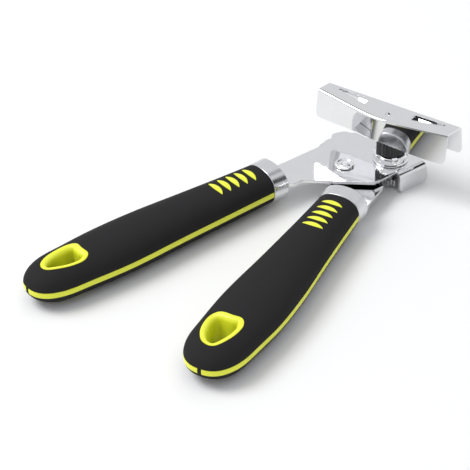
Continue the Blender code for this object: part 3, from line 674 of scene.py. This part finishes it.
def key_sheet():
    """The key's middle surface: up the near flange, over the web and down the far one."""
    steps = 72
    half_sheet = KEY_SHEET / 2
    far = half_sheet - KEY_FAR
    work = bmesh.new()
    rows = []
    for k in range(steps + 1):
        x = -KEY_HALF * math.cos(math.pi * k / steps)
        near = KEY_NEAR_END + KEY_NEAR_SLOPE * (KEY_HALF - math.hypot(x, KEY_NEAR_BLEND)) - half_sheet
        near -= KEY_NEAR_TURN * x
        from_end = KEY_HALF - abs(x)
        lift = 0.0
        if from_end < KEY_CORNER:
            lift = KEY_CORNER - math.sqrt(max(KEY_CORNER**2 - (KEY_CORNER - from_end) ** 2, 0))
        arch = KEY_ARCH * math.cos(math.pi * (x - KEY_ARCH_MIDDLE) / 2 / KEY_HALF) ** 2
        near_bend = bend_path(near, KEY_NEAR_BEND, KEY_NEAR_LEAN, math.pi / 2, 1)
        far_bend = bend_path(far, KEY_FAR_BEND, math.pi / 2, KEY_LEAN, -1)
        y, z = near_bend[0]
        bottom = KEY_BOTTOM + KEY_DROP * (1 + x / KEY_HALF) + arch + lift
        foot = (y + (z - bottom) * math.tan(KEY_NEAR_LEAN), bottom)
        across = straight_path(near_bend[0], foot)[::-1] + near_bend + far_bend
        y, z = far_bend[-1]
        bottom = KEY_BOTTOM + lift
        across += straight_path((y, z), (y - (z - bottom) * math.tan(KEY_LEAN), bottom))
        skew = KEY_SKEW / (near - far)
        rows.append([work.verts.new((x + KEY_MIDDLE + skew * max(y - far, 0), y, z)) for y, z in across])
    for row, following in zip(rows, rows[1:]):
        for i in range(len(row) - 1):
            work.faces.new((row[i], following[i], following[i + 1], row[i + 1]))
    return mesh_from(work, "key")


def make_key():
    """The turning key, with a long pointed slot on each side of the shaft and a small round hole."""
    solidify = {"thickness": KEY_SHEET, "offset": 0, "use_even_offset": True}
    key = evaluated(key_sheet(), [("SOLIDIFY", solidify)])
    through = (KEY_TOP - 4 * MM, KEY_TOP + MM)
    wide, pointed = KEY_SLOT
    cutters = []
    for end, shift in ((1, -0.4), (-1, 0)):                  # the two slots aren't quite in line
        corners = [(wide, 3.3, 0.4), (wide, -1.2, 0.4), (pointed, -1.4, 0.3), (pointed, -0.5, 0.3)]
        corners = [(KEY_MIDDLE / MM + x * end, y + shift, radius) for x, y, radius in corners]
        cutters.append(flat_mesh([rounded(corners, 6)], *through))
    cutters.append(flat_mesh([circle(KEY_HOLE_RADIUS, 48, KEY_HOLE)], *through))
    key = bevelled(carved(key, cut=cutters), KEY_EDGE)
    add_piece("key", key, KEY, "crank", "crank_key", "chrome", sharp=50, finish="key_chrome")


def make_sleeve():
    """The black spacer sleeve, with rounded ribs and a flat that clears the key's far flange."""
    ribs = 30
    middle, ripple, squareness = 6.43 * MM, 0.17 * MM, 2.5
    outline = []
    for i in range(ribs):
        for share in np.linspace(0, 1, 8, endpoint=False):
            radius = middle + ripple * math.tanh(squareness * math.cos(math.tau * share))
            angle = math.tau * (i + share) / ribs
            outline.append((radius * math.cos(angle), radius * math.sin(angle)))
    sleeve = flat_mesh([outline, circle(3.9 * MM)], 15.35 * MM, 24.5 * MM, 0.1 * MM)
    flat = rectangle(-8 * MM, -8 * MM, 8 * MM, -5 * MM)
    sleeve = carved(sleeve, cut=[flat_mesh([flat], 21.8 * MM, 26 * MM)])
    add_piece("sleeve", sleeve, KEY, "crank", "spacer_sleeve", "black_plastic")


def make_bush():
    """The chrome collar, notched round its rim."""
    profile = [
        (3.9, 15.15), (7.3, 15.15), (7.7, 14.8), (7.9, 14.3), (7.9, 12.1), (8.2, 11.6), (8.2, 11.05),
        (5.25, 11.05), (5.25, 8.75), (3.9, 8.75),
    ]
    count = 6
    notches = []
    for i in range(count):
        angle = math.tau * (i + 0.25) / count
        corners = [(6.6, -1.3, 0.2), (9, -1.3, 0), (9, 1.3, 0), (6.6, 1.3, 0.2)]
        notch = flat_mesh([rounded(corners, 4)], 12.9 * MM, 16 * MM)
        notch.transform(Matrix.Rotation(angle, 4, "Z"))
        notches.append(notch)
    bush = bevelled(carved(turned(profile, radius=0.2), cut=notches), 0.1 * MM, segments=2)
    add_piece("bush", bush, KEY, "upper_jaw", "shaft_bush", "chrome")


def make_drive():
    """The shaft through the sleeve and the bush, and its two washers."""
    profile = [
        (0, 35.75), (2.3, 35.75), (2.3, 35.0), (3.6, 35.0), (3.6, 5.3), (1.8, 5.3),
        (1.8, 0.95), (2.9, 0.95), (2.9, 0.5), (2.4, 0.35), (0, 0.35),
    ]
    add_piece("shaft", turned(profile, radius=0.15), KEY, "crank", "drive_shaft", "chrome")
    add_piece("washer_key", turned(ring(2.55, 3.4, 35.2, 35.7)), KEY, "crank", "key_washer", "chrome")
    thrust = turned(ring(3.9, 4.9, 7.75, 8.45))
    add_piece("washer_thrust", thrust, KEY, "crank", "thrust_washer", "hardened_steel")


def make_feed_wheel():
    """The toothed wheel and its hub."""
    teeth = 22
    tip, root = 9.7, 8.7
    outline = []
    for i in range(teeth):
        for share, radius in ((0.0, tip), (0.22, tip), (0.5, root), (0.72, root)):
            angle = math.tau * (i + share) / teeth
            outline.append((radius * MM * math.cos(angle), radius * MM * math.sin(angle)))
    rim = flat_mesh([outline, circle(2.0 * MM)], 1.7 * MM, 5.0 * MM, 0.12 * MM)
    hub = turned(ring(2.0, 4.8, 4.5, 7.5))
    wheel = carved(rim, add=[hub])
    add_piece("wheel", wheel, KEY, "crank", "feed_wheel", "hardened_steel", sharp=30)


# ---------------------------------------------------------------- finishes


class Shader:
    """A material's node tree, built by short calls."""

    def __init__(self, name):
        self.material = bpy.data.materials.new(name)
        self.material.use_nodes = True
        self.tree = self.material.node_tree
        self.surface = self.tree.nodes["Principled BSDF"]

    def node(self, kind, **settings):
        made = self.tree.nodes.new(kind)
        for key, value in settings.items():
            setattr(made, key, value)
        return made

    def link(self, output, socket):
        self.tree.links.new(output, socket)

    def feed(self, output, name):
        """The output drives the surface's socket of that name."""
        self.link(output, self.surface.inputs[name])

    def set(self, **values):
        """Fixed values on the surface's own sockets."""
        for key, value in values.items():
            self.surface.inputs[key.replace("_", " ")].default_value = value

    def coordinates(self, scale=(1, 1, 1), turn=0.0):
        """Coordinates in metres, scaled, and turned about Z."""
        source = self.node("ShaderNodeTexCoord")
        mapping = self.node("ShaderNodeMapping")
        mapping.inputs["Rotation"].default_value = (0, 0, turn)
        mapping.inputs["Scale"].default_value = scale
        self.link(source.outputs["Object"], mapping.inputs["Vector"])
        return mapping.outputs["Vector"]

    def noise(self, vector, scale, detail, rough=0.5):
        made = self.node("ShaderNodeTexNoise")
        made.inputs["Scale"].default_value = scale
        made.inputs["Detail"].default_value = detail
        made.inputs["Roughness"].default_value = rough
        self.link(vector, made.inputs["Vector"])
        return made.outputs["Fac"]

    def between(self, value, low, high, start=0.3, end=0.7):
        """The value, from start to end, spread over low to high."""
        made = self.node("ShaderNodeMapRange")
        for name, number in (("From Min", start), ("From Max", end), ("To Min", low), ("To Max", high)):
            made.inputs[name].default_value = number
        self.link(value, made.inputs["Value"])
        return made.outputs["Result"]

    def colours(self, value, dark, light):
        """The surface's colour, from dark at 0 to light at 1."""
        made = self.node("ShaderNodeMix", data_type="RGBA")
        made.inputs["A"].default_value = (*dark, 1)
        made.inputs["B"].default_value = (*light, 1)
        self.link(value, made.inputs["Factor"])
        self.feed(made.outputs["Result"], "Base Color")

    def bump(self, height, strength, distance):
        """Fine relief, whose full height is the distance."""
        made = self.node("ShaderNodeBump")
        made.inputs["Strength"].default_value = strength
        made.inputs["Distance"].default_value = distance
        self.link(height, made.inputs["Height"])
        self.feed(made.outputs["Normal"], "Normal")


def soft_black():
    """Matt overmoulded rubber with a fine spark-eroded grain and faint handling marks."""
    shader = Shader("soft_black")
    shader.set(Specular_IOR_Level=0.06)
    vector = shader.coordinates()
    grain = shader.noise(vector, scale=2600, detail=2)
    cloud = shader.noise(vector, scale=90, detail=4)
    shader.colours(cloud, (0.021, 0.020, 0.021), (0.028, 0.027, 0.028))
    shader.feed(shader.between(cloud, 0.6, 0.75), "Roughness")
    shader.bump(grain, strength=0.25, distance=0.06 * MM)
    return shader.material


def lime_plastic():
    """Semi-gloss moulded plastic with slight flow variation, darkened by painted shade in its hollows, most
    inside the hanging hole.
    """
    shader = Shader("lime_plastic")
    shader.set(Subsurface_Weight=0.15, Subsurface_Radius=(0.9, 1.0, 0.2), Subsurface_Scale=MM)
    vector = shader.coordinates()
    cloud = shader.noise(vector, scale=120, detail=3)
    # Painted shade: ambient occlusion turns the base colour dark olive in hollows and inside the hanging hole
    painted_shade_ao = shader.node("ShaderNodeAmbientOcclusion")
    painted_shade_ao.inputs["Distance"].default_value = 8 * MM
    lit_share = shader.between(painted_shade_ao.outputs["AO"], 0, 1, start=0.25, end=0.9)
    shader.colours(lit_share, (0.30, 0.33, 0.0), (0.88, 0.92, 0.05))
    shader.feed(shader.between(cloud, 0.28, 0.4), "Roughness")
    shader.bump(shader.noise(vector, scale=900, detail=2), strength=0.08, distance=0.05 * MM)
    return shader.material


def black_plastic():
    """Matt black moulding with a fine grain."""
    shader = Shader("black_plastic")
    vector = shader.coordinates()
    cloud = shader.noise(vector, scale=300, detail=3)
    shader.colours(cloud, (0.010, 0.010, 0.011), (0.018, 0.018, 0.019))
    shader.feed(shader.between(cloud, 0.3, 0.45), "Roughness")
    shader.bump(shader.noise(vector, scale=1800, detail=2), strength=0.15, distance=0.05 * MM)
    return shader.material


def fill_deep_reflections(shader):
    """A pale glow in place of the blackness where one mirror face is seen in another over and over."""
    deep = shader.node("ShaderNodeMath", operation="GREATER_THAN")
    shader.link(shader.node("ShaderNodeLightPath").outputs["Glossy Depth"], deep.inputs[0])
    deep.inputs[1].default_value = DEEP_REFLECTION
    shader.set(Emission_Color=(*DEEP_GREY, 1))
    shader.feed(deep.outputs["Value"], "Emission Strength")


def metal(name, colour, roughness, stretch, strength, turn=0.0, deep=False):
    """Worked metal: fine lines along one direction, and softer and sharper patches."""
    shader = Shader(name)
    shader.set(Metallic=1.0)
    lines = shader.noise(shader.coordinates(stretch, turn), scale=1.0, detail=4, rough=0.6)
    cloud = shader.noise(shader.coordinates(), scale=160, detail=4)
    dull = tuple(0.94 * channel for channel in colour)
    shader.colours(cloud, dull, colour)
    shader.feed(shader.between(cloud, *roughness), "Roughness")
    shader.bump(lines, strength, distance=0.04 * MM)
    if deep:
        fill_deep_reflections(shader)
    return shader.material


def bright_chrome(name, colour, deep=False):
    """Plating with hardly any grain."""
    return metal(name, colour, roughness=(0.025, 0.05), stretch=(900, 900, 900), strength=0.01, deep=deep)


def polished_steel():
    """Sheet with faint polishing lines along the handle."""
    colour = (0.80, 0.80, 0.81)
    return metal("polished_steel", colour, (0.05, 0.10), (260, 5200, 900), strength=0.03, turn=0.2)


def satin_steel():
    """Drawn steel, brushed round its girth."""
    return metal("satin_steel", (0.74, 0.74, 0.76), (0.2, 0.28), (9000, 60, 60), strength=0.06)


def hardened_steel():
    """Ground and hardened steel, greyer than the plates."""
    return metal("hardened_steel", (0.55, 0.55, 0.56), (0.2, 0.3), (2500, 2500, 300), strength=0.1)


FINISHES = {
    "soft_black": soft_black(),
    "lime_plastic": lime_plastic(),
    "polished_steel": polished_steel(),
    "satin_steel": satin_steel(),
    "chrome": bright_chrome("chrome", (0.88, 0.88, 0.89)),
    "key_chrome": bright_chrome("key_chrome", (0.80, 0.80, 0.81), deep=True),
    "hardened_steel": hardened_steel(),
    "black_plastic": black_plastic(),
}


# ---------------------------------------------------------------- studio


def make_floor():
    """A wide, pale, matt floor at the height that the opener lies on."""
    mesh = bpy.data.meshes.new("floor")
    corners = [(x, y, 0) for x, y in rectangle(-FLOOR_REACH, -FLOOR_REACH, FLOOR_REACH, FLOOR_REACH)]
    mesh.from_pydata(corners, [], [(0, 1, 2, 3)])
    floor = add_object("floor", mesh)
    shader = Shader("floor")
    shader.set(Base_Color=(*FLOOR_COLOUR, 1), Roughness=0.6, Specular_IOR_Level=0.2)
    mesh.materials.append(shader.material)


def make_world():
    """Pale walls with dark cards standing in front of them, which show in reflections only."""
    world = bpy.data.worlds.new("studio")
    bpy.context.scene.world = world
    world.use_nodes = True
    tree = world.node_tree

    def math_node(operation, *inputs):
        made = tree.nodes.new("ShaderNodeMath")
        made.operation = operation
        for socket, value in zip(made.inputs, inputs):
            if isinstance(value, (int, float)):
                socket.default_value = value
            else:
                tree.links.new(value, socket)
        return made.outputs["Value"]

    def step(value, edge, soft):
        made = tree.nodes.new("ShaderNodeMapRange")
        made.interpolation_type = "SMOOTHSTEP"
        made.inputs["From Min"].default_value = math.radians(edge - soft)
        made.inputs["From Max"].default_value = math.radians(edge + soft)
        tree.links.new(value, made.inputs["Value"])
        return made.outputs["Result"]

    direction = tree.nodes.new("ShaderNodeTexCoord").outputs["Generated"]
    split = tree.nodes.new("ShaderNodeSeparateXYZ")
    tree.links.new(direction, split.inputs["Vector"])
    x, y, z = split.outputs
    heading = math_node("ARCTAN2", y, x)
    height = math_node("ARCSINE", z)
    light = WALL_LIGHT
    for (left, right), (low, high), soft, left_over in CARDS:
        inside = math_node("SUBTRACT", step(heading, left, soft), step(heading, right, soft))
        level = math_node("SUBTRACT", step(height, low, soft), step(height, high, soft))
        cover = math_node("MULTIPLY", inside, level)
        light = math_node("MULTIPLY", light, math_node("MULTIPLY_ADD", cover, left_over - 1, 1.0))
    path = tree.nodes.new("ShaderNodeLightPath")
    plain = math_node("MULTIPLY", path.outputs["Is Camera Ray"], BACKDROP)
    others = math_node("SUBTRACT", 1.0, path.outputs["Is Camera Ray"])
    strength = math_node("MULTIPLY_ADD", light, others, plain)
    background = tree.nodes["Background"]
    background.inputs["Color"].default_value = (*WALL_COLOUR, 1)
    tree.links.new(strength, background.inputs["Strength"])


def make_lamp(name, position, size, power):
    """A round soft lamp that points at the origin."""
    data = bpy.data.lights.new(name, "AREA")
    data.shape = "DISK"
    data.size = size
    data.energy = power
    lamp = add_object(name, data)
    lamp.location = position
    lamp.rotation_euler = (-Vector(position)).to_track_quat("-Z", "Y").to_euler()


def make_camera():
    """A long lens that looks down at the opener from its grips' end."""
    heading, pitch = math.radians(40.114), math.radians(36.143)
    level = math.cos(pitch)
    data = bpy.data.cameras.new("camera")
    data.lens = 173.59
    data.sensor_width = 36
    data.clip_start = 0.05
    data.clip_end = 50
    camera = add_object("camera", data)
    camera.location = (-0.6116, -0.50543, 0.58687)
    towards = Vector((level * math.cos(heading), level * math.sin(heading), -math.sin(pitch)))
    camera.rotation_euler = towards.to_track_quat("-Z", "Y").to_euler()
    bpy.context.scene.camera = camera


make_camera()
make_floor()
make_world()
make_lamp("softbox", position=(-0.55, 0.75, 1.3), size=0.9, power=14)
bpy.context.scene.view_settings.view_transform = "Standard"

make_grip("upper", UPPER_GRIP)
make_grip("lower", LOWER_GRIP)
make_ferrule("upper", UPPER_GRIP, UPPER_NECK, UPPER_BOTTOM, UPPER_TOP)
make_ferrule("lower", LOWER_GRIP, LOWER_NECK, LOWER_BOTTOM, LOWER_TOP)
make_upper_plate()
make_lower_plate()
make_pivot()
make_cutter()
make_key()
make_sleeve()
make_bush()
make_drive()
make_feed_wheel()
